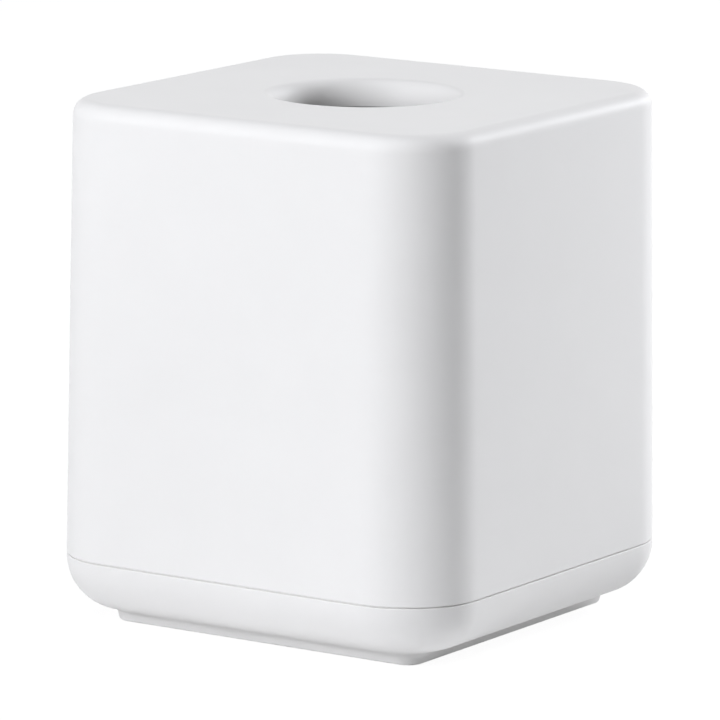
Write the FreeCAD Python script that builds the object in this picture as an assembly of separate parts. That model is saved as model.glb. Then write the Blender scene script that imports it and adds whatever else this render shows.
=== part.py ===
import FreeCAD, Part
import math
import os

# A square holder for a carton of tissues: a moulded cover that lifts off a moulded base with rubber pads.
# Sizes are in millimetres. Z is up, and the origin lies on the standing surface, midway between the sides.

# Form that the cover and the base share
body_width = 135.0          # across the sides, where the cover meets the base
corner_radius = 24.0        # of the four upright corners, at the same height
wall = 2.4                  # moulded thickness of both
lean = 0.0156               # how far a side leans in for each millimetre of height, to leave its mould

# Cover
cover_height = 130.8        # from its rim to its top face
top_edge_radius = 4.9
ceiling_chamfer = 1.6       # inside, where the sides meet the top
seam_chamfer = 0.25         # broken outer edge on each side of the seam
rim_chamfer = 0.6           # inside the rim, to find the base

# Opening in the cover's top, where the wall rolls in and hangs down as a short collar
throat_radius = 24.9
lip_setback = 3.0           # from the corner that the lip rounds to its 45-degree tangent, along each face
lip_top_radius = 5.8        # of the lip's upper arc
collar_depth = 8.2          # from the top face to the collar's lower edge
collar_chamfer = 0.6
collar_root_chamfer = 1.6   # inside, where the collar meets the top

# Base: a tray with a rounded underside, standing on a narrower plinth
base_height = 19.3          # from the plinth's underside to the seam
underside_setback = 7.14    # from the side in to the corner where the underside turns up to 45 degrees
underside_radius = 13.7     # of its lower arc, which rounds that corner
underside_rise = 1.96       # from the plinth's top up to that corner
plinth_height = 3.3
plinth_setback = 15.0       # from the side in to the plinth's foot
plinth_flare = 0.7          # how much further out each of its sides is at the top
plinth_chamfer = 0.4
tray_corner_chamfer = 0.8   # inside, round the floor
tray_step_chamfer = 1.4     # inside, where the floor steps up to the shelf
tray_side_bevel = 5.3       # inside, between the shelf and the side

# Seam: the cover's rim stands on a raised seat, which leaves a thin shadow line outside it
seam_gap = 0.35
seat_inset = 0.9            # from the outer side in to the seat

# Locating rim: it stands up from the tray, inside the cover
rim_height = 7.5
rim_wall = 1.8
rim_clearance = 0.3         # between it and the cover
rim_outer_chamfer = 0.8     # at its top, to find the cover
rim_inner_chamfer = 0.4
rib_clearance = 0.1         # between its guide ribs and the cover
rib_width = 2.0
rib_spacing = 60.0          # between the two ribs on a side
rib_top_taper = 1.2         # height over which a rib fades at its top

# Rubber pads, each set in a shallow recess under the plinth
pad_radius = 6.0
pad_proud = 0.5             # how far a pad stands out of the plinth
pad_recess = 0.8
pad_clearance = 0.15        # round the pad
pad_inset = 13.0            # from the plinth's foot in to the pad's centre

# An arc of one eighth of a circle has tangents this many times its radius long.
tangent_ratio = math.tan(math.radians(22.5))

# Distances "out" are measured from the upright axis of a corner, so that one outline serves corners and sides.
axis_distance = body_width / 2 - corner_radius
plinth_foot_out = corner_radius - plinth_setback
plinth_top_out = plinth_foot_out + plinth_flare
underside_corner_out = corner_radius - underside_setback
underside_slope = math.atan2(underside_rise, underside_corner_out - plinth_top_out)
underside_tangent = underside_radius * math.tan((math.pi / 4 - underside_slope) / 2)
rim_out = corner_radius - wall - rim_clearance
rim_inner_out = rim_out - rim_wall
shelf_side_out = rim_inner_out - tray_side_bevel

# Heights above the standing surface
plinth_z = pad_proud
floor_z = plinth_z + wall
plinth_top_z = plinth_z + plinth_height
underside_corner_z = plinth_top_z + underside_rise
shelf_z = plinth_top_z + wall
shelf_side_z = shelf_z + (shelf_side_out - plinth_top_out) * math.tan(underside_slope)
seam_z = plinth_z + base_height
seat_z = seam_z + seam_gap
rim_top_z = seat_z + rim_height
top_z = seat_z + cover_height
ceiling_z = top_z - wall
collar_z = top_z - collar_depth

origin = FreeCAD.Vector(0, 0, 0)
upward = FreeCAD.Vector(0, 0, 1)


def at(out, height):
    return FreeCAD.Vector(out, 0, height)


def leaned(out, rise):
    """Where a leaning side has got to, this far above the place where it is 'out'."""
    return out - lean * rise


def rounded_path(corners):
    """Lines through the corners, each given as (out, height, radius), with an arc of that radius at each."""
    points = [at(out, height) for out, height, radius in corners]
    edges = []
    reached = points[0]
    for index in range(1, len(points) - 1):
        corner = points[index]
        radius = corners[index][2]
        if radius == 0:
            edges.append(Part.makeLine(reached, corner))
            reached = corner
            continue
        back = (points[index - 1] - corner).normalize()
        onward = (points[index + 1] - corner).normalize()
        half_angle = back.getAngle(onward) / 2
        tangent_length = radius / math.tan(half_angle)
        arc_start = corner + back * tangent_length
        arc_end = corner + onward * tangent_length
        inward = (back + onward).normalize()
        arc_middle = corner + inward * (radius / math.sin(half_angle) - radius)
        if reached.distanceToPoint(arc_start) > 0.001:
            edges.append(Part.makeLine(reached, arc_start))
        edges.append(Part.Arc(arc_start, arc_middle, arc_end).toShape())
        reached = arc_end
    edges.append(Part.makeLine(reached, points[-1]))
    return edges


def later_radius(setback, first_tangent):
    """Radius of the second of two arcs that share a corner's 45-degree tangent, after the first has had its part."""
    return (setback * math.sqrt(2) - first_tangent) / tangent_ratio


def closed_outline(edges):
    first = edges[0].firstVertex(True).Point
    last = edges[-1].lastVertex(True).Point
    return Part.Wire(edges + [Part.makeLine(last, first)])


def rounded_block(edges):
    """The solid whose side outline, from the bottom of a corner's axis to its top, is the given edges."""
    outline = closed_outline(edges)
    corner_axis = FreeCAD.Vector(axis_distance, axis_distance, 0)
    near = outline.translated(FreeCAD.Vector(axis_distance, -axis_distance, 0))
    far = outline.translated(corner_axis)
    side = Part.makeLoft([near, far], True, True)
    corner = Part.Face(far).revolve(corner_axis, upward, 90)
    low = outline.BoundBox.ZMin
    core_corner = FreeCAD.Vector(-axis_distance, -axis_distance, low)
    core = Part.makeBox(2 * axis_distance, 2 * axis_distance, outline.BoundBox.ZMax - low, core_corner)
    return core.multiFuse(four_around(side) + four_around(corner)).removeSplitter()


def four_around(shape):
    """The shape and its copies on the other three sides."""
    copies = []
    for turn in range(4):
        copy = shape.copy()
        copy.rotate(origin, upward, 90 * turn)
        copies.append(copy)
    return copies


def make_cover():
    outside = rounded_path([
        (0, seat_z, 0),
        (corner_radius - seam_chamfer, seat_z, 0),
        (leaned(corner_radius, seam_chamfer), seat_z + seam_chamfer, 0),
        (leaned(corner_radius, cover_height), top_z, top_edge_radius),
        (0, top_z, 0),
    ])
    inside_radius = corner_radius - wall
    hollow = rounded_path([
        (0, seat_z, 0),
        (inside_radius + rim_chamfer, seat_z, 0),
        (leaned(inside_radius, rim_chamfer), seat_z + rim_chamfer, 0),
        (leaned(inside_radius, cover_height - wall), ceiling_z - ceiling_chamfer, 0),
        (leaned(inside_radius, cover_height - wall) - ceiling_chamfer, ceiling_z, 0),
        (0, ceiling_z, 0),
    ])
    shell = rounded_block(outside).cut(rounded_block(hollow))
    lip_outer_radius = throat_radius + 2 * lip_setback + wall
    hole = Part.makeCylinder(lip_outer_radius, cover_height, FreeCAD.Vector(0, 0, seat_z))
    return shell.cut(hole).fuse(make_lip(lip_outer_radius)).removeSplitter()


def make_lip(outer_radius):
    """The ring where the top rolls over into the throat, and the collar below it."""
    section = closed_outline(rounded_path([
        (outer_radius, top_z, 0),
        (throat_radius + lip_setback, top_z, lip_top_radius),
        (throat_radius, top_z - lip_setback, later_radius(lip_setback, lip_top_radius * tangent_ratio)),
        (throat_radius, collar_z + collar_chamfer, 0),
        (throat_radius + collar_chamfer, collar_z, 0),
        (throat_radius + wall, collar_z, 0),
        (throat_radius + wall, ceiling_z - collar_root_chamfer, 0),
        (throat_radius + wall + collar_root_chamfer, ceiling_z, 0),
        (outer_radius, ceiling_z, 0),
    ]))
    return Part.Face(section).revolve(origin, upward, 360)


def make_base():
    outside = rounded_path([
        (0, plinth_z, 0),
        (plinth_foot_out - plinth_chamfer, plinth_z, 0),
        (plinth_foot_out, plinth_z + plinth_chamfer, 0),
        (plinth_top_out, plinth_top_z, 0),
        (underside_corner_out, underside_corner_z, underside_radius),
        (corner_radius, underside_corner_z + underside_setback, later_radius(underside_setback, underside_tangent)),
        (corner_radius, seam_z - seam_chamfer, 0),
        (corner_radius - seam_chamfer, seam_z, 0),
        (corner_radius - seat_inset, seam_z, 0),
        (corner_radius - seat_inset, seat_z, 0),
        (rim_out, seat_z, 0),
        (leaned(rim_out, rim_height), rim_top_z - rim_outer_chamfer, 0),
        (leaned(rim_out, rim_height) - rim_outer_chamfer, rim_top_z, 0),
        (0, rim_top_z, 0),
    ])
    body = rounded_block(outside).fuse(guide_ribs())
    return body.cut([make_hollow()] + pad_recesses()).removeSplitter()


def make_hollow():
    """The inside of the tray: a floor in the plinth, a sloping shelf round it, and a bevel up to the side."""
    return rounded_block(rounded_path([
        (0, floor_z, 0),
        (plinth_foot_out - wall - tray_corner_chamfer, floor_z, 0),
        (plinth_foot_out - wall, floor_z + tray_corner_chamfer, 0),
        (plinth_top_out - wall, shelf_z - tray_step_chamfer, 0),
        (plinth_top_out - wall + tray_step_chamfer, shelf_z, 0),
        (shelf_side_out, shelf_side_z, 0),
        (rim_inner_out, shelf_side_z + tray_side_bevel, 0),
        (rim_inner_out, rim_top_z - rim_inner_chamfer, 0),
        (rim_inner_out + rim_inner_chamfer, rim_top_z, 0),
        (0, rim_top_z, 0),
    ]))


def guide_ribs():
    """Low upright ribs outside the locating rim, which keep the cover from rattling."""
    rib_out = rim_out + rim_clearance - rib_clearance
    taper_top_z = rim_top_z - rim_outer_chamfer
    taper_z = taper_top_z - rib_top_taper
    root_out = rim_out - rim_wall / 2
    section = closed_outline(rounded_path([
        (root_out, seat_z, 0),
        (rib_out, seat_z, 0),
        (leaned(rib_out, taper_z - seat_z), taper_z, 0),
        (leaned(rim_out, taper_top_z - seat_z), taper_top_z, 0),
        (root_out, taper_top_z, 0),
    ]))
    section.translate(FreeCAD.Vector(axis_distance, -rib_width / 2, 0))
    ribs = []
    for along in (-rib_spacing / 2, rib_spacing / 2):
        rib = Part.Face(section).extrude(FreeCAD.Vector(0, rib_width, 0))
        rib.translate(FreeCAD.Vector(0, along, 0))
        ribs += four_around(rib)
    return ribs


def pad_places():
    distance = axis_distance + plinth_foot_out - pad_inset
    return [
        FreeCAD.Vector(-distance, -distance, 0),
        FreeCAD.Vector(distance, -distance, 0),
        FreeCAD.Vector(distance, distance, 0),
        FreeCAD.Vector(-distance, distance, 0),
    ]


def pad_recesses():
    return [
        Part.makeCylinder(pad_radius + pad_clearance, pad_proud + pad_recess, place)
        for place in pad_places()
    ]


def make_pad(place):
    return Part.makeCylinder(pad_radius, pad_proud + pad_recess, place)


def main():
    os.makedirs("parts", exist_ok=True)
    pieces = {"cover": make_cover(), "base": make_base()}
    for number, place in enumerate(pad_places(), start=1):
        pieces[f"foot_pad_{number}"] = make_pad(place)
    for name, piece in pieces.items():
        piece.exportStep(f"parts/{name}.step")
        print(f"{name}: {len(piece.Solids)} solid, {len(piece.Faces)} faces, {piece.Volume:.0f} mm3")


main()
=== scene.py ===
import math

import bmesh
import bpy
from mathutils import Matrix, Vector


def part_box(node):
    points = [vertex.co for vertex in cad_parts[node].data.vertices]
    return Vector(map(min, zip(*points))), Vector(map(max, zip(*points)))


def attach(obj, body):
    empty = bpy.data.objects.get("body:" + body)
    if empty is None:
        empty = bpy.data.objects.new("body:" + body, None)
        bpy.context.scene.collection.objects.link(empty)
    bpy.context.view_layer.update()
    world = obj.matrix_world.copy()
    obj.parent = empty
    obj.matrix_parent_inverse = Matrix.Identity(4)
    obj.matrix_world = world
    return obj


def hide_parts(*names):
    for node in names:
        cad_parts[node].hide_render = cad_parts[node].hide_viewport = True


bl_info = {
    "name": "Tissue box holder",
    "version": (1, 0, 0),
    "blender": (4, 5, 0),
    "location": "3D View > Sidebar > Tissue holder",
    "description": "Dresses a tissue box holder's moulded cover, base and rubber pads, and lights them",
    "category": "Object",
}

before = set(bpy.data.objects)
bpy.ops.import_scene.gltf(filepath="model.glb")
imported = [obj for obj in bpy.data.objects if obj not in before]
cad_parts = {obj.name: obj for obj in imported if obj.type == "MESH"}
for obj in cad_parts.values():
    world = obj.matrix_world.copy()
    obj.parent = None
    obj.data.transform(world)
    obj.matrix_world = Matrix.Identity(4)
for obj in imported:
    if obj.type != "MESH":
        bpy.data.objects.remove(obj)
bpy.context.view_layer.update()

MM = 0.001
QUARTER = math.radians(90)
SAME_PLACE = 0.001 * MM  # points nearer to each other than this are one
LEAST_ARC_STEPS = 3  # faces of a rounded edge, however little it turns

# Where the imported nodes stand, which the sizes below start from
cover_low, cover_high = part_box("cover")
base_low, base_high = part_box("base")
pad_low, pad_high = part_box("foot_pad_3")  # the pad towards +X and +Y


# --------------------------------------------------------------------------------------------------
# Sizes and colours that a user would change
# --------------------------------------------------------------------------------------------------


def length(name, description, default):
    return bpy.props.FloatProperty(
        name=name, description=description, default=default, min=0.0, precision=5,
        unit="LENGTH", subtype="DISTANCE")


def turn(name, description, degrees):
    return bpy.props.FloatProperty(
        name=name, description=description, default=math.radians(degrees),
        subtype="ANGLE", unit="ROTATION")


def amount(name, description, default, highest=1.0):
    return bpy.props.FloatProperty(
        name=name, description=description, default=default, min=0.0, max=highest)


def count(name, description, default):
    return bpy.props.IntProperty(name=name, description=description, default=default, min=1)


def colour(name, description, default):
    return bpy.props.FloatVectorProperty(
        name=name, description=description, default=default, size=3, min=0.0, max=1.0, subtype="COLOR")


class HolderForm(bpy.types.PropertyGroup):
    """What the cover and the base share."""

    width: length("Width", "Across the sides, at the seam", cover_high[0] - cover_low[0])
    corner_radius: length("Corner radius", "Of the upright corners, at the seam", 24.0 * MM)
    wall: length("Wall", "Moulded thickness", 2.4 * MM)
    lean: bpy.props.FloatProperty(
        name="Lean", description="How far a side leans in for each length of height",
        default=0.0156, precision=4)
    edge_radius: length("Broken edge", "Radius of the edges on each side of the seam", 0.3 * MM)
    corner_steps: count("Corner steps", "Faces round each upright corner", 30)
    arc_step: turn("Arc step", "Most that one face of a rounded edge turns", 7.5)
    smooth_turn: turn("Smooth turn", "Most that two faces turn where they meet smoothly", 40.0)


class CoverForm(bpy.types.PropertyGroup):
    """The lift-off cover."""

    rim_z: length("Rim height", "Of the rim's foot above the standing surface", cover_low[2])
    top_z: length("Top height", "Of the top face above the standing surface", cover_high[2])
    top_edge_radius: length("Top edge radius", "Where the sides roll into the top", 4.9 * MM)
    rim_chamfer: length("Rim chamfer", "Inside the rim", 0.6 * MM)
    rim_edge_radius: length("Rim edge radius", "At the chamfer's foot", 0.15 * MM)
    throat_radius: length("Throat radius", "Of the opening for tissues", 24.9 * MM)
    lip_reach: length("Lip reach", "From the throat's side out to the top face", 4.0 * MM)
    lip_depth: length(
        "Lip depth", "From the top face down to the throat's straight side", 6.8 * MM)
    lip_under_radius: length(
        "Radius under the lip", "Between the top's underside and the collar", 3.0 * MM)
    collar_depth: length("Collar depth", "From the top face to the collar's lower edge", 8.2 * MM)
    collar_edge_radius: length("Collar edge radius", "Of the collar's lower edge", 0.7 * MM)


class BaseForm(bpy.types.PropertyGroup):
    """The base, a tray with a rounded underside on a narrower plinth."""

    foot_z: length(
        "Plinth foot height", "Above the standing surface, a little under the packed base's",
        base_low[2] - 0.3 * MM)
    rim_top_z: length("Locating rim height", "Of its top above the standing surface", base_high[2])
    plinth_height: length("Plinth height", "From its foot to the underside", 3.33 * MM)
    plinth_foot_out: length(
        "Plinth reach", "From a corner's axis out to the plinth's foot", 7.6 * MM)
    plinth_flare: length("Plinth flare", "How much further out its sides are at the top", 0.9 * MM)
    plinth_edge_radius: length("Plinth edge radius", "Round its foot", 0.9 * MM)
    plinth_blend_radius: length("Plinth blend radius", "Where it meets the underside", 2.2 * MM)
    plinth_corner_gain: length(
        "Plinth corner gain", "How much tighter its upright corners are than the holder's rings",
        2.9 * MM)
    plinth_corner_fade: length(
        "Plinth corner fade", "How far out past its top that gain fades to nothing", 3.3 * MM)
    underside_setback: length(
        "Underside setback",
        "From the side in to the corner where the underside turns up to 45 degrees", 7.14 * MM)
    underside_radius: length(
        "Underside radius", "Of its lower arc, which rounds that corner", 13.7 * MM)
    underside_rise: length("Underside rise", "From the plinth's top up to that corner", 2.23 * MM)
    seam_gap: length("Seam gap", "Height of the shadow line at the seam", 0.35 * MM)
    seat_inset: length("Seat inset", "From the outer side in to the seat", 0.7 * MM)
    rim_wall: length("Locating rim wall", "Its thickness", 1.8 * MM)
    rim_clearance: length("Locating rim clearance", "Between it and the cover", 0.3 * MM)
    tray_bevel: length("Tray bevel", "Between the tray's shelf and its side", 5.3 * MM)
    rib_width: length("Rib width", "Of a guide rib", 2.0 * MM)
    rib_spacing: length("Rib spacing", "Between the two guide ribs on a side", 60.0 * MM)
    rib_proud: length("Rib height", "How far a guide rib stands out of the rim", 0.2 * MM)
    rib_drop: length("Rib drop", "From the locating rim's top down to a rib's top", 0.9 * MM)


class PadForm(bpy.types.PropertyGroup):
    """The four rubber pads."""

    radius: length("Radius", "Of a pad", (pad_high[0] - pad_low[0]) / 2)
    height: length("Height", "From the standing surface to the bottom of the recess", pad_high[2])
    edge_radius: length("Edge radius", "Round a pad's foot", 0.3 * MM)
    clearance: length("Clearance", "Between a pad and its recess", 0.15 * MM)
    distance: length(
        "Distance", "Of a pad's centre from the middle, along X and along Y",
        (pad_low[0] + pad_high[0]) / 2)
    recess_steps: count("Recess steps", "Faces round a pad's recess", 96)


class MarkForm(bpy.types.PropertyGroup):
    """Marks that the mould leaves where they are not seen in use."""

    pin_radius: length("Pin mark radius", "Of an ejector pin's mark", 3.0 * MM)
    ring_radius: length("Pin mark edge", "Radius of the raised edge round a mark", 0.12 * MM)
    cover_reach: length("Marks under the top", "Distance of the marks from the middle", 45.0 * MM)
    tray_reach: length("Marks in the tray", "Distance of the marks from the middle", 30.0 * MM)
    gate_radius: length("Gate mark radius", "Of the cut sprue under the plinth", 1.6 * MM)
    gate_proud: length("Gate mark height", "How far the cut sprue stands out", 0.08 * MM)


class Finishes(bpy.types.PropertyGroup):
    """Colours and gloss."""

    cover_colour: colour("Cover plastic", "Colour of the cover", (0.89, 0.879, 0.868))
    base_colour: colour("Base plastic", "Colour of the base", (0.89, 0.879, 0.868))
    pad_colour: colour("Pad rubber", "Colour of the pads", (0.27, 0.275, 0.28))
    roughness: amount("Plastic roughness", "Of the satin moulded surface", 0.58)
    grain: length("Grain depth", "Depth of the mould's spark-eroded grain", 0.006 * MM)
    cover_handled: length(
        "Handled top", "How far below the cover's top the gloss from hands starts", 12.0 * MM)
    rim_handled: length(
        "Handled rim", "How far below the locating rim's top the gloss from hands starts", 4.0 * MM)


class Studio(bpy.types.PropertyGroup):
    """Camera, lamps and floor."""

    azimuth: turn("Azimuth", "Of the camera, from the front towards the right", 33.521)
    elevation: turn("Elevation", "Of the camera above the horizon", 10.757)
    roll: turn("Roll", "Of the camera", 0.388)
    distance: length("Distance", "From the camera to its target", 1863.8 * MM)
    target: bpy.props.FloatVectorProperty(
        name="Target", description="Point that the camera looks at", size=3, subtype="XYZ", unit="LENGTH",
        default=(0.0, -1.4175 * MM, 73.753 * MM))
    lens: bpy.props.FloatProperty(
        name="Lens", description="Focal length in millimetres, for a sensor 36 mm wide", default=325.71)
    floor_size: length("Floor size", "Of the square floor", 6.0)
    floor_colour: amount("Floor paleness", "Of the floor that lights the holder from below", 0.92)
    floor_shade: amount("Floor shade", "How strongly the floor shows light and shadow", 0.14)
    floor_glow: amount("Floor glow", "White that is added where the floor is seen", 0.93)
    aim_height: length("Aim height", "Of the point that the lamps face", 75.0 * MM)
    lamp_strength: amount("Lamp strength", "Times each lamp's own power", 1.03, 4.0)
    lamp_colour: colour("Lamp colour", "Of every lamp", (0.953, 0.968, 1.0))


class HolderScene(bpy.types.PropertyGroup):
    """All the settings of the holder and its studio."""

    form: bpy.props.PointerProperty(type=HolderForm)
    cover: bpy.props.PointerProperty(type=CoverForm)
    base: bpy.props.PointerProperty(type=BaseForm)
    pads: bpy.props.PointerProperty(type=PadForm)
    marks: bpy.props.PointerProperty(type=MarkForm)
    finishes: bpy.props.PointerProperty(type=Finishes)
    studio: bpy.props.PointerProperty(type=Studio)


# --------------------------------------------------------------------------------------------------
# Nodes written as expressions
# --------------------------------------------------------------------------------------------------


class Value:
    """A number that a node puts out. Arithmetic on it adds Math nodes to its tree."""

    def __init__(self, nodes, socket):
        self.nodes = nodes
        self.socket = socket

    def combined(self, operation, first, second):
        return self.nodes.add("ShaderNodeMath", {"operation": operation}, {0: first, 1: second})[0]

    def or_more(self, other):
        """The greater of the two."""
        return self.combined("MAXIMUM", self, other)

    def __add__(self, other):
        return self.combined("ADD", self, other)

    def __radd__(self, other):
        return self.combined("ADD", other, self)

    def __sub__(self, other):
        return self.combined("SUBTRACT", self, other)

    def __rsub__(self, other):
        return self.combined("SUBTRACT", other, self)

    def __mul__(self, other):
        return self.combined("MULTIPLY", self, other)

    def __rmul__(self, other):
        return self.combined("MULTIPLY", other, self)

    def __truediv__(self, other):
        return self.combined("DIVIDE", self, other)

    def __rtruediv__(self, other):
        return self.combined("DIVIDE", other, self)


class Added:
    """A node in a tree, whose outputs are read by name or number."""

    def __init__(self, nodes, node):
        self.nodes = nodes
        self.node = node

    def __getitem__(self, output):
        return Value(self.nodes, self.node.outputs[output])


class Nodes:
    """Adds nodes to a tree and links them."""

    def __init__(self, tree):
        self.tree = tree

    def add(self, kind, settings=None, inputs=None):
        """A node of that kind: its settings are made first, then the values or links of its sockets."""
        node = self.tree.nodes.new(kind)
        for name, setting in (settings or {}).items():
            if name == "stops":
                self.set_stops(node.color_ramp, setting)
            else:
                setattr(node, name, setting)
        for name, given in (inputs or {}).items():
            if isinstance(given, Value):
                self.tree.links.new(given.socket, node.inputs[name])
            else:
                node.inputs[name].default_value = given
        return Added(self, node)

    def set_stops(self, ramp, stops):
        while len(ramp.elements) < len(stops):
            ramp.elements.new(1.0)
        for element, (place, shade) in zip(ramp.elements, stops):
            element.position = place
            element.color = (shade, shade, shade, 1.0)


def new_geometry_tree(name, inputs):
    """Nodes of a new geometry tree, and its inputs, which are given as (name, socket type)."""
    tree = bpy.data.node_groups.new(name, "GeometryNodeTree")
    tree.is_modifier = True
    tree.interface.new_socket("Geometry", in_out="OUTPUT", socket_type="NodeSocketGeometry")
    tree.interface.new_socket("Geometry", in_out="INPUT", socket_type="NodeSocketGeometry")
    for label, kind in inputs:
        tree.interface.new_socket(label, in_out="INPUT", socket_type=kind)
    nodes = Nodes(tree)
    return nodes, nodes.add("NodeGroupInput")


def end_tree(nodes, geometry, material):
    """The finished tree, whose result is the geometry in that material."""
    geometry = nodes.add("GeometryNodeSetMaterial", None, {"Geometry": geometry, "Material": material})[0]
    nodes.add("NodeGroupOutput", None, {"Geometry": geometry})
    return nodes.tree


def worked_out(nodes, operation, number):
    """What that operation, which takes a single number, makes of it."""
    return nodes.add("ShaderNodeMath", {"operation": operation}, {0: number})[0]


def at_four_corners(nodes, distance, mesh):
    """Copies of the mesh at four places, that far from the middle along X and along Y."""
    corners = nodes.add("GeometryNodeMeshGrid", None, {
        "Size X": distance * 2,
        "Size Y": distance * 2,
        "Vertices X": 2,
        "Vertices Y": 2,
    })["Mesh"]
    copies = nodes.add("GeometryNodeInstanceOnPoints", None, {"Points": corners, "Instance": mesh})[0]
    return nodes.add("GeometryNodeRealizeInstances", None, {"Geometry": copies})[0]


def run_tree(piece, tree, inputs):
    """The plain mesh that the tree makes of the piece, put in the piece's place."""
    modifier = piece.modifiers.new(tree.name, "NODES")
    modifier.node_group = tree
    identifiers = {
        item.name: item.identifier
        for item in tree.interface.items_tree if getattr(item, "in_out", "") == "INPUT"}
    for name, given in inputs.items():
        modifier[identifiers[name]] = given
    evaluated = piece.evaluated_get(bpy.context.evaluated_depsgraph_get())
    result = bpy.data.meshes.new_from_object(evaluated)
    piece.modifiers.remove(modifier)
    piece.data = result
    result.name = piece.name
    return piece


# --------------------------------------------------------------------------------------------------
# Sections: outlines that are carried round the holder
# --------------------------------------------------------------------------------------------------


def leaned(form, out, rise):
    """Where a leaning side has got to, this far above the place where it is 'out'."""
    return out - form.lean * rise


def rounded(form, corners, squareness):
    """Points (out, height, squareness) by way of corners (out, height, radius), rounded to those radii."""
    points = []
    places = [Vector((out, height)) for out, height, radius in corners]
    for index, (out, height, radius) in enumerate(corners):
        if radius == 0 or index in (0, len(corners) - 1):
            points.append((out, height, squareness))
            continue
        corner = places[index]
        back = (places[index - 1] - corner).normalized()
        onward = (places[index + 1] - corner).normalized()
        half_angle = back.angle(onward) / 2
        tangent = radius / math.tan(half_angle)
        centre = corner + (back + onward).normalized() * (radius / math.sin(half_angle))
        start = corner + back * tangent - centre
        swing = start.angle_signed(corner + onward * tangent - centre)
        steps = max(LEAST_ARC_STEPS, math.ceil(abs(swing) / form.arc_step))
        for step in range(steps + 1):
            point = centre + Matrix.Rotation(-swing * step / steps, 2) @ start
            if not points or math.dist(points[-1][:2], point) > SAME_PLACE:
                points.append((point.x, point.y, squareness))
    return points


def new_piece(name):
    mesh = bpy.data.meshes.new(name)
    piece = bpy.data.objects.new(name, mesh)
    bpy.context.scene.collection.objects.link(piece)
    return piece


def section_piece(name, points):
    """A piece whose mesh is the section: a chain of points that also know how square their ring is."""
    piece = new_piece(name)
    places = [(out, 0.0, height) for out, height, squareness in points]
    links = [(index, index + 1) for index in range(len(points) - 1)]
    piece.data.from_pydata(places, links, [])
    squareness = piece.data.attributes.new("squareness", "FLOAT", "POINT")
    squareness.data.foreach_set("value", [point[2] for point in points])
    return piece


def carry_round_tree():
    """Carries a section round the holder. A ring of squareness 1 has upright corners round the corners'
    axes, and one of squareness 0 is a plain circle."""
    nodes, given = new_geometry_tree("Carry section round", [
        ("Axis distance", "NodeSocketFloat"),
        ("Corner steps", "NodeSocketInt"),
        ("Material", "NodeSocketMaterial"),
    ])
    steps = given["Corner steps"]
    stations = (steps + 1) * 4 + 1
    section = given["Geometry"]
    rows = nodes.add("GeometryNodeAttributeDomainSize", None, {"Geometry": section})["Point Count"]
    grid = nodes.add("GeometryNodeMeshGrid", None, {
        "Size X": stations - 1,
        "Size Y": rows - 1,
        "Vertices X": stations,
        "Vertices Y": rows,
    })["Mesh"]
    place = nodes.add("ShaderNodeSeparateXYZ", None, {0: nodes.add("GeometryNodeInputPosition")[0]})
    station = worked_out(nodes, "ROUND", place["X"] + (stations - 1) / 2)
    row = worked_out(nodes, "ROUND", place["Y"] + (rows - 1) / 2)
    corner = worked_out(nodes, "FLOOR", station / (steps + 1))
    angle = (corner + (station - corner * (steps + 1)) / steps) * QUARTER
    axis_angle = (corner + 0.5) * QUARTER

    stored = nodes.add("GeometryNodeInputNamedAttribute", {"data_type": "FLOAT"}, {"Name": "squareness"})
    squareness = sampled(nodes, section, row, "FLOAT", stored["Attribute"])
    spot = sampled(nodes, section, row, "FLOAT_VECTOR", nodes.add("GeometryNodeInputPosition")[0])
    spot = nodes.add("ShaderNodeSeparateXYZ", None, {0: spot})
    reach = squareness * given["Axis distance"] * math.sqrt(2)
    out = spot["X"]
    ring = nodes.add("ShaderNodeCombineXYZ", None, {
        "X": worked_out(nodes, "COSINE", axis_angle) * reach + worked_out(nodes, "COSINE", angle) * out,
        "Y": worked_out(nodes, "SINE", axis_angle) * reach + worked_out(nodes, "SINE", angle) * out,
        "Z": spot["Z"],
    })[0]
    shape = nodes.add("GeometryNodeSetPosition", None, {"Geometry": grid, "Position": ring})[0]
    shape = nodes.add("GeometryNodeMergeByDistance", None, {"Geometry": shape, "Distance": SAME_PLACE})[0]
    return end_tree(nodes, shape, given["Material"])


def sampled(nodes, geometry, index, kind, field):
    return nodes.add("GeometryNodeSampleIndex", {"data_type": kind, "domain": "POINT"}, {
        "Geometry": geometry, "Value": field, "Index": index})[0]


def four_corners_tree():
    """Puts a mesh at four places, the same distance from the middle along X and along Y."""
    nodes, given = new_geometry_tree("Repeat at four corners", [
        ("Distance", "NodeSocketFloat"),
        ("Material", "NodeSocketMaterial"),
    ])
    copies = at_four_corners(nodes, given["Distance"], given["Geometry"])
    return end_tree(nodes, copies, given["Material"])


def each_side_tree():
    """Puts a mesh that stands on the right side on all four sides, twice on each."""
    nodes, given = new_geometry_tree("Repeat along each side", [
        ("Spacing", "NodeSocketFloat"),
        ("Material", "NodeSocketMaterial"),
    ])
    pair = nodes.add("GeometryNodeMeshLine", {"mode": "END_POINTS"}, {
        "Count": 2,
        "Start Location": nodes.add("ShaderNodeCombineXYZ", None, {"Y": given["Spacing"] * -0.5})[0],
        "Offset": nodes.add("ShaderNodeCombineXYZ", None, {"Y": given["Spacing"] * 0.5})[0],
    })["Mesh"]
    pair = nodes.add("GeometryNodeInstanceOnPoints", None, {
        "Points": pair, "Instance": given["Geometry"]})[0]
    middle = nodes.add("GeometryNodePoints", None, {"Count": 4})[0]
    side = nodes.add("GeometryNodeInputIndex")[0]
    turned = nodes.add("ShaderNodeCombineXYZ", None, {"Z": side * QUARTER})[0]
    sides = nodes.add("GeometryNodeInstanceOnPoints", None, {
        "Points": middle, "Instance": pair, "Rotation": turned})[0]
    sides = nodes.add("GeometryNodeRealizeInstances", None, {"Geometry": sides})[0]
    return end_tree(nodes, sides, given["Material"])


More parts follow.
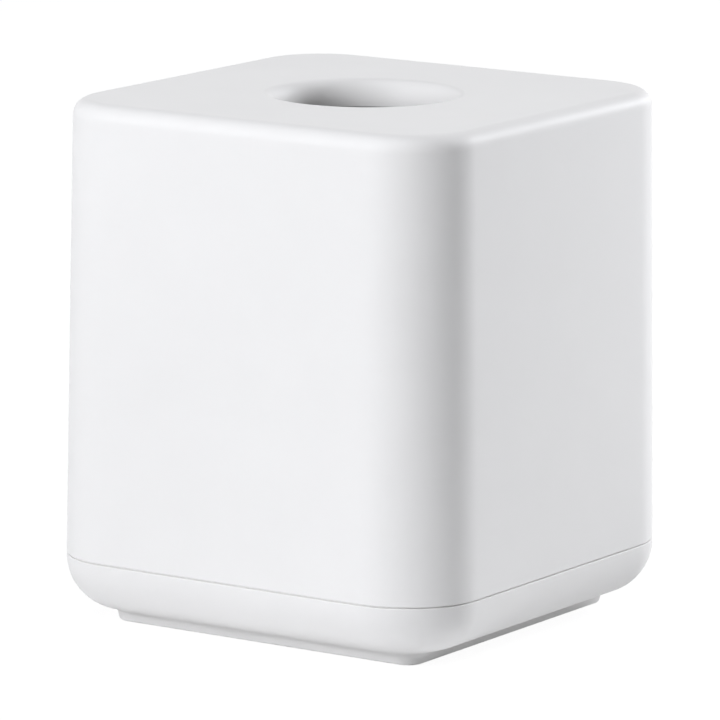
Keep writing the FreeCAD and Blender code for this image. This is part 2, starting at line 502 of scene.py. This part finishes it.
def recess_tree():
    """Sinks four round recesses into a mesh from below."""
    nodes, given = new_geometry_tree("Sink pad recesses", [
        ("Distance", "NodeSocketFloat"),
        ("Radius", "NodeSocketFloat"),
        ("Height", "NodeSocketFloat"),
        ("Recess steps", "NodeSocketInt"),
        ("Material", "NodeSocketMaterial"),
    ])
    drill = nodes.add("GeometryNodeMeshCylinder", {"fill_type": "NGON"}, {
        "Vertices": given["Recess steps"],
        "Radius": given["Radius"],
        "Depth": given["Height"] * 2,
    })["Mesh"]
    drills = at_four_corners(nodes, given["Distance"], drill)
    sunk = nodes.add("GeometryNodeMeshBoolean", {"operation": "DIFFERENCE", "solver": "EXACT"}, {
        "Mesh 1": given["Geometry"], "Mesh 2": drills})["Mesh"]
    return end_tree(nodes, sunk, given["Material"])


def later_radius(setback, first_tangent):
    """Radius of the second of two arcs that share a corner's 45-degree tangent, after the first."""
    return (setback * math.sqrt(2) - first_tangent) / math.tan(QUARTER / 4)


def cover_section(form, cover):
    """The cover's whole wall, from the ceiling down the inside, up the outside, and down the throat."""
    inside = form.corner_radius - form.wall
    rise = cover.top_z - cover.rim_z
    ceiling_z = cover.top_z - form.wall
    collar_z = cover.top_z - cover.collar_depth
    flat_out = form.corner_radius / 3
    throat_flat_out = cover.throat_radius + form.wall + 2 * cover.lip_under_radius
    collar_out = cover.throat_radius + form.wall
    sides = rounded(form, [
        (flat_out, ceiling_z, 0),
        (leaned(form, inside, rise - form.wall), ceiling_z, cover.top_edge_radius - form.wall),
        (leaned(form, inside, cover.rim_chamfer), cover.rim_z + cover.rim_chamfer, form.edge_radius),
        (inside + cover.rim_chamfer, cover.rim_z, cover.rim_edge_radius),
        (form.corner_radius, cover.rim_z, form.edge_radius),
        (leaned(form, form.corner_radius, rise), cover.top_z, cover.top_edge_radius),
        (flat_out, cover.top_z, 0),
    ], 1.0)
    collar = rounded(form, [
        (cover.throat_radius, cover.top_z - cover.lip_depth, 0),
        (cover.throat_radius, collar_z, cover.collar_edge_radius),
        (collar_out, collar_z, cover.collar_edge_radius),
        (collar_out, ceiling_z, cover.lip_under_radius),
        (throat_flat_out, ceiling_z, 0),
    ], 0.0)
    throat = [(throat_flat_out, cover.top_z, 0.0)] + lip_curve(form, cover) + collar[1:]
    return sides + throat + sides[:1]


def lip_curve(form, cover):
    """The throat's lip, a quarter of an ellipse from the top face in and down to the throat's side."""
    steps = math.ceil(2 * QUARTER / form.arc_step)
    angles = [QUARTER * step / steps for step in range(steps + 1)]
    return [(
        cover.throat_radius + cover.lip_reach * (1 - math.sin(angle)),
        cover.top_z - cover.lip_depth * (1 - math.cos(angle)),
        0.0,
    ) for angle in angles]


def base_section(form, base, seat_z):
    """The base's outline, from the middle of its underside round the seam to the middle of the tray."""
    plinth_top_out = base.plinth_foot_out + base.plinth_flare
    plinth_top_z = base.foot_z + base.plinth_height
    corner_out = form.corner_radius - base.underside_setback
    corner_z = plinth_top_z + base.underside_rise
    slope = math.atan2(base.underside_rise, corner_out - plinth_top_out)
    tangent = base.underside_radius * math.tan((QUARTER / 2 - slope) / 2)
    upper_radius = later_radius(base.underside_setback, tangent)
    seam_z = seat_z - base.seam_gap
    side_z = seam_z - 1.2 * form.edge_radius  # just under the seam's rounded edge
    seat_out = form.corner_radius - base.seat_inset
    rim_out = form.corner_radius - form.wall - base.rim_clearance
    rim_inner_out = rim_out - base.rim_wall
    shelf_side_out = rim_inner_out - base.tray_bevel
    floor_z = base.foot_z + form.wall
    shelf_z = plinth_top_z + form.wall
    shelf_side_z = shelf_z + (shelf_side_out - plinth_top_out) * math.tan(slope)
    seat_radius = base.seam_gap / 3
    rim_root_radius = base.seam_gap / 2
    rim_outer_radius = base.rim_wall * 0.4
    rim_inner_radius = base.rim_wall * 0.3
    shelf_radius = base.tray_bevel * 0.8
    step_radius = form.wall * 0.8
    floor_radius = form.wall * 0.4
    middle_out = 1.0 * MM
    outside = rounded(form, [
        (middle_out, base.foot_z, 0),
        (base.plinth_foot_out, base.foot_z, base.plinth_edge_radius),
        (plinth_top_out, plinth_top_z, base.plinth_blend_radius),
        (corner_out, corner_z, base.underside_radius),
        (form.corner_radius, corner_z + base.underside_setback, upper_radius),
        (form.corner_radius, side_z, 0),
    ], 1.0)
    inside = rounded(form, [
        (form.corner_radius, side_z, 0),
        (form.corner_radius, seam_z, form.edge_radius),
        (seat_out, seam_z, seat_radius),
        (seat_out, seat_z, seat_radius),
        (rim_out, seat_z, rim_root_radius),
        (leaned(form, rim_out, base.rim_top_z - seat_z), base.rim_top_z, rim_outer_radius),
        (rim_inner_out, base.rim_top_z, rim_inner_radius),
        (rim_inner_out, shelf_side_z + base.tray_bevel, shelf_radius),
        (shelf_side_out, shelf_side_z, shelf_radius),
        (plinth_top_out - form.wall, shelf_z, step_radius),
        (base.plinth_foot_out - form.wall, floor_z, floor_radius),
        (middle_out, floor_z, 0),
    ], 1.0)
    outside[1:] = [plinth_cornered(form, base, point) for point in outside[1:]]
    return [(0, base.foot_z, 0.0)] + outside + inside[1:] + [(0, floor_z, 0.0)]


def plinth_cornered(form, base, point):
    """The point with its ring's corners tighter on the plinth, fading out over the underside."""
    out, height, squareness = point
    past_plinth = out - base.plinth_foot_out - base.plinth_flare
    gain = base.plinth_corner_gain * (1 - min(1, max(0, past_plinth / base.plinth_corner_fade)))
    return out - gain, height, squareness + gain / axis_distance(form)


def pad_section(form, pads):
    """A pad's outline, from the middle of its foot out and up to the middle of its top."""
    middle_out = pads.radius / 2
    outline = rounded(form, [
        (middle_out, 0, 0),
        (pads.radius, 0, pads.edge_radius),
        (pads.radius, pads.height, pads.edge_radius),
        (middle_out, pads.height, 0),
    ], 0.0)
    return [(0, 0, 0.0)] + outline + [(0, pads.height, 0.0)]


def carried_round(piece, steps, distance, material):
    """The section's piece, turned into the mesh that it makes round corner axes at that distance."""
    tree = bpy.data.node_groups.get("Carry section round") or carry_round_tree()
    return run_tree(piece, tree, {
        "Axis distance": distance, "Corner steps": steps, "Material": material})


def axis_distance(form):
    """Of a corner's upright axis from the middle, along X and along Y."""
    return form.width / 2 - form.corner_radius


def finish_mesh(piece, smooth_turn):
    """Faces outward, edges sharp where faces turn by more than smooth_turn, and flat faces shaded flat."""
    mesh = bmesh.new()
    mesh.from_mesh(piece.data)
    bmesh.ops.remove_doubles(mesh, verts=mesh.verts, dist=SAME_PLACE)
    bmesh.ops.recalc_face_normals(mesh, faces=mesh.faces)
    if mesh.calc_volume(signed=True) < 0:
        bmesh.ops.reverse_faces(mesh, faces=mesh.faces)
    open_edges = [edge for edge in mesh.edges if not edge.is_manifold]
    mesh.to_mesh(piece.data)
    mesh.free()
    if open_edges:
        raise RuntimeError(f"{piece.name} has {len(open_edges)} open edges")
    piece.data.shade_smooth()
    piece.data.set_sharp_from_angle(angle=smooth_turn)
    weighted = piece.modifiers.new("Flat faces stay flat", "WEIGHTED_NORMAL")
    weighted.keep_sharp = True
    weighted.weight = 100  # the largest faces rule


# --------------------------------------------------------------------------------------------------
# Finishes
# --------------------------------------------------------------------------------------------------


def new_material(name):
    material = bpy.data.materials.new(name)
    material.use_nodes = True
    material.node_tree.nodes.clear()
    return material, Nodes(material.node_tree)


def object_place(nodes):
    return nodes.add("ShaderNodeTexCoord")["Object"]


def noise(nodes, place, scale, detail=2.0, roughness=0.5):
    """A smooth random value from 0 to 1, with features of about 1 / scale metres."""
    return nodes.add("ShaderNodeTexNoise", {"noise_dimensions": "3D"}, {
        "Vector": place, "Scale": scale, "Detail": detail, "Roughness": roughness})[0]


def ramp(nodes, value, stops):
    return nodes.add("ShaderNodeValToRGB", {"stops": stops}, {0: value})["Color"]


def mixed(nodes, mask, first, second):
    """The first colour where the mask is 0, the second where it is 1."""
    return nodes.add("ShaderNodeMix", {"data_type": "RGBA"}, {
        0: mask, 6: (*first, 1.0), 7: (*second, 1.0)})[2]


def scaled(colour, factor):
    return tuple(min(1.0, channel * factor) for channel in colour)


def bumped(nodes, height, distance, under=None):
    inputs = {"Height": height, "Distance": distance, "Strength": 1.0}
    if under is not None:
        inputs["Normal"] = under
    return nodes.add("ShaderNodeBump", None, inputs)["Normal"]


def moulded_plastic(name, colour, roughness, grain, handled_height):
    """Satin moulded plastic: spark-eroded grain, very slight waves, and gloss where hands polish it."""
    darker = 0.985
    paler = 1.01
    grain_change = 0.10  # of the roughness, as the next two
    cloud_change = 0.06
    handled_change = 0.05
    handled_fade = 12.0 * MM
    wave_height = 0.05 * MM

    material, nodes = new_material(name)
    place = object_place(nodes)
    spot = nodes.add("ShaderNodeSeparateXYZ", None, {0: place})

    cloud = noise(nodes, place, 14.0, 3.0)
    flow = noise(nodes, place, 55.0, 2.0)
    tone = ramp(nodes, cloud * 0.7 + flow * 0.3, [(0.3, 0.0), (0.7, 1.0)])

    fine = noise(nodes, place, 2600.0, 2.0, 0.6)
    coarse = noise(nodes, place, 900.0, 2.0)
    handled = ramp(nodes, (spot["Z"] - handled_height) / handled_fade, [(0.0, 0.0), (1.0, 1.0)])
    polish = ramp(nodes, noise(nodes, place, 70.0, 4.0), [(0.35, 0.0), (0.75, 1.0)])
    uneven = roughness + (fine - 0.5) * grain_change + (cloud - 0.5) * cloud_change

    waves = bumped(nodes, noise(nodes, place, 28.0, 1.0), wave_height)
    shader = nodes.add("ShaderNodeBsdfPrincipled", None, {
        "Base Color": mixed(nodes, tone, scaled(colour, darker), scaled(colour, paler)),
        "Roughness": uneven - handled * polish * handled_change,
        "Normal": bumped(nodes, fine * 0.6 + coarse * 0.4, grain, waves),
        "IOR": 1.5,
    })[0]
    nodes.add("ShaderNodeOutputMaterial", None, {"Surface": shader})
    return material


def pad_rubber(colour):
    """Matt rubber with a fine tooth and paler scuffs on the face that stands on the shelf."""
    paler = 1.3
    scuff_height = 0.3 * MM
    scuff_strength = 0.6
    least_roughness = 0.74
    tooth_change = 0.14  # of the roughness
    tooth_height = 0.02 * MM

    material, nodes = new_material("Pad rubber")
    place = object_place(nodes)
    spot = nodes.add("ShaderNodeSeparateXYZ", None, {0: place})
    tooth = noise(nodes, place, 4200.0, 2.0, 0.7)
    smear = noise(nodes, place, 260.0, 4.0, 0.6)
    underneath = ramp(nodes, 1.0 - spot["Z"] / scuff_height, [(0.0, 0.0), (1.0, 1.0)])
    scuffs = underneath * ramp(nodes, smear, [(0.45, 0.0), (0.7, 1.0)])
    shader = nodes.add("ShaderNodeBsdfPrincipled", None, {
        "Base Color": mixed(nodes, scuffs * scuff_strength, colour, scaled(colour, paler)),
        "Roughness": least_roughness + tooth * tooth_change,
        "Normal": bumped(nodes, tooth, tooth_height),
        "IOR": 1.5,
    })[0]
    nodes.add("ShaderNodeOutputMaterial", None, {"Surface": shader})
    return material


def seen_directly(nodes):
    """1 for a ray from the camera or a mirror-like or clear surface, which sees the studio's white."""
    path = nodes.add("ShaderNodeLightPath")
    return path["Is Camera Ray"].or_more(path["Is Glossy Ray"]).or_more(path["Is Transmission Ray"])


def grey(level):
    return level, level, level, 1.0


def studio_floor(paleness, shade, glow):
    """Pale floor that looks white and keeps the holder's soft shadow."""
    material, nodes = new_material("Studio floor")
    pale = nodes.add("ShaderNodeBsdfDiffuse", None, {"Color": grey(paleness)})[0]
    shown = nodes.add("ShaderNodeBsdfDiffuse", None, {"Color": grey(shade)})[0]
    white = nodes.add("ShaderNodeEmission", None, {"Color": grey(1.0), "Strength": glow})[0]
    lifted = nodes.add("ShaderNodeAddShader", None, {0: shown, 1: white})[0]
    shader = nodes.add("ShaderNodeMixShader", None, {0: seen_directly(nodes), 1: pale, 2: lifted})[0]
    nodes.add("ShaderNodeOutputMaterial", None, {"Surface": shader})
    return material


# --------------------------------------------------------------------------------------------------
# Operators
# --------------------------------------------------------------------------------------------------


class BuildCover(bpy.types.Operator):
    """Build the lift-off cover: a leaning square shell whose top rolls over into a round throat"""

    bl_idname = "tissue_holder.build_cover"
    bl_label = "Build cover"

    def execute(self, context):
        holder = context.scene.tissue_holder
        form, cover, finishes = holder.form, holder.cover, holder.finishes
        handled_height = cover.top_z - finishes.cover_handled
        plastic = moulded_plastic(
            "Cover plastic", finishes.cover_colour, finishes.roughness, finishes.grain, handled_height)
        piece = section_piece("cover_shell", cover_section(form, cover))
        carried_round(piece, form.corner_steps, axis_distance(form), plastic)
        finish_mesh(piece, form.smooth_turn)
        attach(piece, "cover_body")
        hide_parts("cover")
        return {"FINISHED"}


class BuildBase(bpy.types.Operator):
    """Build the base: rounded underside, recessed plinth, seat, locating rim and tray"""

    bl_idname = "tissue_holder.build_base"
    bl_label = "Build base"

    def execute(self, context):
        holder = context.scene.tissue_holder
        form, base, pads, finishes = holder.form, holder.base, holder.pads, holder.finishes
        handled_height = base.rim_top_z - finishes.rim_handled
        plastic = moulded_plastic(
            "Base plastic", finishes.base_colour, finishes.roughness, finishes.grain, handled_height)
        piece = section_piece("base_tray", base_section(form, base, holder.cover.rim_z))
        carried_round(piece, form.corner_steps, axis_distance(form), plastic)
        run_tree(piece, recess_tree(), {
            "Distance": pads.distance,
            "Radius": pads.radius + pads.clearance,
            "Height": pads.height,
            "Recess steps": pads.recess_steps,
            "Material": plastic,
        })
        finish_mesh(piece, form.smooth_turn)
        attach(piece, "base_body")
        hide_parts("base")
        return {"FINISHED"}


class BuildGuideRibs(bpy.types.Operator):
    """Build the low ribs outside the locating rim, which keep the cover from rattling"""

    bl_idname = "tissue_holder.build_guide_ribs"
    bl_label = "Build guide ribs"

    def execute(self, context):
        holder = context.scene.tissue_holder
        form, base = holder.form, holder.base
        seat_z = holder.cover.rim_z
        rise = base.rim_top_z - seat_z
        root = axis_distance(form) + form.corner_radius - form.wall - base.rim_clearance
        back = root - base.rim_wall / 2
        top_z = base.rim_top_z - base.rib_drop
        half = base.rib_width / 2
        slope = math.sqrt(0.5) * base.rib_proud
        # Along the rim and out of its side, where None stands for the rib's back inside the rim
        outline = [
            (-half, None), (-half, 0.0), (-half + slope, base.rib_proud),
            (half - slope, base.rib_proud), (half, 0.0), (half, None)]
        # Height, and the share of the rib that still stands out of the rim there
        levels = [(seat_z, 1.0), (top_z - rise * 0.2, 1.0), (top_z - rise * 0.1, 0.6), (top_z, 0.0)]
        piece = new_piece("guide_ribs")
        mesh = bmesh.new()
        rings = []
        for height, share in levels:
            side = root - form.lean * (height - seat_z)
            rings.append([
                mesh.verts.new((back if proud is None else side + share * proud, along, height))
                for along, proud in outline])
        for lower, upper in zip(rings, rings[1:]):
            for index in range(len(outline)):
                following = (index + 1) % len(outline)
                mesh.faces.new((lower[index], lower[following], upper[following], upper[index]))
        mesh.faces.new(rings[0])
        mesh.faces.new(rings[-1])
        bmesh.ops.recalc_face_normals(mesh, faces=mesh.faces)
        mesh.to_mesh(piece.data)
        mesh.free()
        run_tree(piece, each_side_tree(), {
            "Spacing": base.rib_spacing, "Material": bpy.data.materials["Base plastic"]})
        finish_mesh(piece, form.smooth_turn)
        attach(piece, "base_body")
        return {"FINISHED"}


class BuildPads(bpy.types.Operator):
    """Build the four rubber pads in the recesses under the plinth"""

    bl_idname = "tissue_holder.build_pads"
    bl_label = "Build pads"

    def execute(self, context):
        holder = context.scene.tissue_holder
        form, pads = holder.form, holder.pads
        rubber = pad_rubber(holder.finishes.pad_colour)
        piece = section_piece("foot_pads", pad_section(form, pads))
        carried_round(piece, form.corner_steps // 2, 0.0, rubber)
        run_tree(piece, four_corners_tree(), {"Distance": pads.distance, "Material": rubber})
        finish_mesh(piece, form.smooth_turn)
        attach(piece, "base_body")
        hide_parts("foot_pad_1", "foot_pad_2", "foot_pad_3", "foot_pad_4")
        return {"FINISHED"}


class BuildMouldMarks(bpy.types.Operator):
    """Build the marks of the ejector pins, under the top and in the tray, and of the gate underneath"""

    bl_idname = "tissue_holder.build_mould_marks"
    bl_label = "Build mould marks"

    def execute(self, context):
        holder = context.scene.tissue_holder
        form, marks = holder.form, holder.marks
        ceiling_z = holder.cover.top_z - form.wall
        floor_z = holder.base.foot_z + form.wall
        self.build_pin_marks("cover_pin_marks", ceiling_z, marks.cover_reach, "cover_body", "Cover plastic")
        self.build_pin_marks("tray_pin_marks", floor_z, marks.tray_reach, "base_body", "Base plastic")
        self.build_gate_mark()
        return {"FINISHED"}

    def build_pin_marks(self, name, height, reach, body, material):
        """Four low rings, half sunk in the flat face at that height."""
        holder = bpy.context.scene.tissue_holder
        form, marks = holder.form, holder.marks
        plastic = bpy.data.materials[material]
        steps = 12
        points = []
        for step in range(steps + 1):
            angle = 4 * QUARTER * step / steps
            out = marks.pin_radius + marks.ring_radius * math.cos(angle)
            points.append((out, height + marks.ring_radius * math.sin(angle), 0.0))
        piece = section_piece(name, points)
        carried_round(piece, form.corner_steps // 2, 0.0, plastic)
        run_tree(piece, four_corners_tree(), {"Distance": reach, "Material": plastic})
        finish_mesh(piece, form.smooth_turn)
        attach(piece, body)

    def build_gate_mark(self):
        """A low disc, half sunk in the middle of the plinth's underside."""
        holder = bpy.context.scene.tissue_holder
        form, marks, foot_z = holder.form, holder.marks, holder.base.foot_z
        plastic = bpy.data.materials["Base plastic"]
        upper_z = foot_z + marks.gate_proud
        lower_z = foot_z - marks.gate_proud
        middle_out = 0.2 * marks.gate_radius
        outline = rounded(form, [
            (middle_out, upper_z, 0),
            (marks.gate_radius, upper_z, 0),
            (marks.gate_radius, lower_z, marks.gate_proud / 2),
            (middle_out, lower_z, 0),
        ], 0.0)
        piece = section_piece("gate_mark", [(0, upper_z, 0.0)] + outline + [(0, lower_z, 0.0)])
        carried_round(piece, form.corner_steps // 3, 0.0, plastic)
        finish_mesh(piece, form.smooth_turn)
        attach(piece, "base_body")


SENSOR_WIDTH = 36.0  # millimetres
CAMERA_REACH = 50.0  # metres

# Name, azimuth and elevation in degrees, diameter and distance in metres, and watts
LAMPS = (
    ("Front lamp", -20.0, 20.0, 0.9, 2.5, 33.0),
    ("High front lamp", -20.0, 63.0, 0.9, 2.5, 16.5),
    ("High right lamp", 61.0, 69.0, 1.0, 2.5, 11.8),
    ("Near right lamp", 135.0, 3.0, 0.15, 0.45, 0.25),
    ("Back lamp", 158.0, 22.0, 0.5, 2.5, 36.5),
)


def direction(azimuth, elevation):
    """Away from the holder, turned from the front towards the right, and up."""
    return Vector((
        math.sin(azimuth) * math.cos(elevation),
        -math.cos(azimuth) * math.cos(elevation),
        math.sin(elevation)))


class SetStage(bpy.types.Operator):
    """Set up the pale floor, the white surroundings, the lamps and the camera"""

    bl_idname = "tissue_holder.set_stage"
    bl_label = "Set stage"

    def execute(self, context):
        studio = context.scene.tissue_holder.studio
        self.lay_floor(studio)
        self.light_world(context.scene)
        self.hang_lamps(studio)
        self.place_camera(context.scene, studio)
        context.scene.view_settings.view_transform = "Standard"
        return {"FINISHED"}

    def lay_floor(self, studio):
        floor = new_piece("studio_floor")
        half = studio.floor_size / 2
        corners = [(-half, -half, 0), (half, -half, 0), (half, half, 0), (-half, half, 0)]
        floor.data.from_pydata(corners, [], [(0, 1, 2, 3)])
        material = studio_floor(studio.floor_colour, studio.floor_shade, studio.floor_glow)
        floor.data.materials.append(material)

    def light_world(self, scene):
        """No light from all round, but plain white where the camera looks past the floor."""
        scene.world = bpy.data.worlds.new("Studio")
        scene.world.use_nodes = True
        scene.world.node_tree.nodes.clear()
        nodes = Nodes(scene.world.node_tree)
        dark = nodes.add("ShaderNodeBackground", None, {"Color": grey(0.0)})[0]
        white = nodes.add("ShaderNodeBackground", None, {"Color": grey(1.0)})[0]
        shader = nodes.add("ShaderNodeMixShader", None, {0: seen_directly(nodes), 1: dark, 2: white})[0]
        nodes.add("ShaderNodeOutputWorld", None, {"Surface": shader})

    def hang_lamps(self, studio):
        """Soft round lamps, each that far from the middle of the holder and facing it."""
        for name, azimuth, elevation, size, distance, power in LAMPS:
            towards = direction(math.radians(azimuth), math.radians(elevation))
            data = bpy.data.lights.new(name, "AREA")
            data.shape = "DISK"
            data.size = size
            data.energy = power * studio.lamp_strength
            data.color = studio.lamp_colour
            lamp = bpy.data.objects.new(name, data)
            place = Vector((0, 0, studio.aim_height)) + towards * distance
            facing = towards.to_track_quat("Z", "Y").to_matrix().to_4x4()
            lamp.matrix_world = Matrix.Translation(place) @ facing
            bpy.context.scene.collection.objects.link(lamp)

    def place_camera(self, scene, studio):
        towards = direction(studio.azimuth, studio.elevation)
        right = Vector((math.cos(studio.azimuth), math.sin(studio.azimuth), 0))
        upright = towards.cross(right)
        data = bpy.data.cameras.new("Camera")
        data.sensor_width = SENSOR_WIDTH
        data.lens = studio.lens
        data.clip_end = CAMERA_REACH
        camera = bpy.data.objects.new("Camera", data)
        facing = Matrix((right, upright, towards)).transposed() @ Matrix.Rotation(studio.roll, 3, "Z")
        camera.matrix_world = Matrix.Translation(
            Vector(studio.target) + towards * studio.distance) @ facing.to_4x4()
        scene.collection.objects.link(camera)
        scene.camera = camera


class HolderPanel(bpy.types.Panel):
    """Sizes, finishes and the steps that build the holder"""

    bl_idname = "VIEW3D_PT_tissue_holder"
    bl_label = "Tissue box holder"
    bl_space_type = "VIEW_3D"
    bl_region_type = "UI"
    bl_category = "Tissue holder"

    def draw(self, context):
        holder = context.scene.tissue_holder
        for part in holder.__annotations__:
            group = getattr(holder, part)
            box = self.layout.box()
            for name in group.__annotations__:
                box.prop(group, name)
        for operator in STEPS:
            self.layout.operator(operator.bl_idname)


FORMS = (HolderForm, CoverForm, BaseForm, PadForm, MarkForm, Finishes, Studio, HolderScene)
STEPS = (BuildCover, BuildBase, BuildGuideRibs, BuildPads, BuildMouldMarks, SetStage)


def register():
    for part in (*FORMS, *STEPS, HolderPanel):
        bpy.utils.register_class(part)
    bpy.types.Scene.tissue_holder = bpy.props.PointerProperty(type=HolderScene)


def unregister():
    del bpy.types.Scene.tissue_holder
    for part in reversed((*FORMS, *STEPS, HolderPanel)):
        bpy.utils.unregister_class(part)


def main():
    register()
    bpy.ops.tissue_holder.build_cover()
    bpy.ops.tissue_holder.build_base()
    bpy.ops.tissue_holder.build_guide_ribs()
    bpy.ops.tissue_holder.build_pads()
    bpy.ops.tissue_holder.build_mould_marks()
    bpy.ops.tissue_holder.set_stage()


if __name__ == "__main__":
    main()
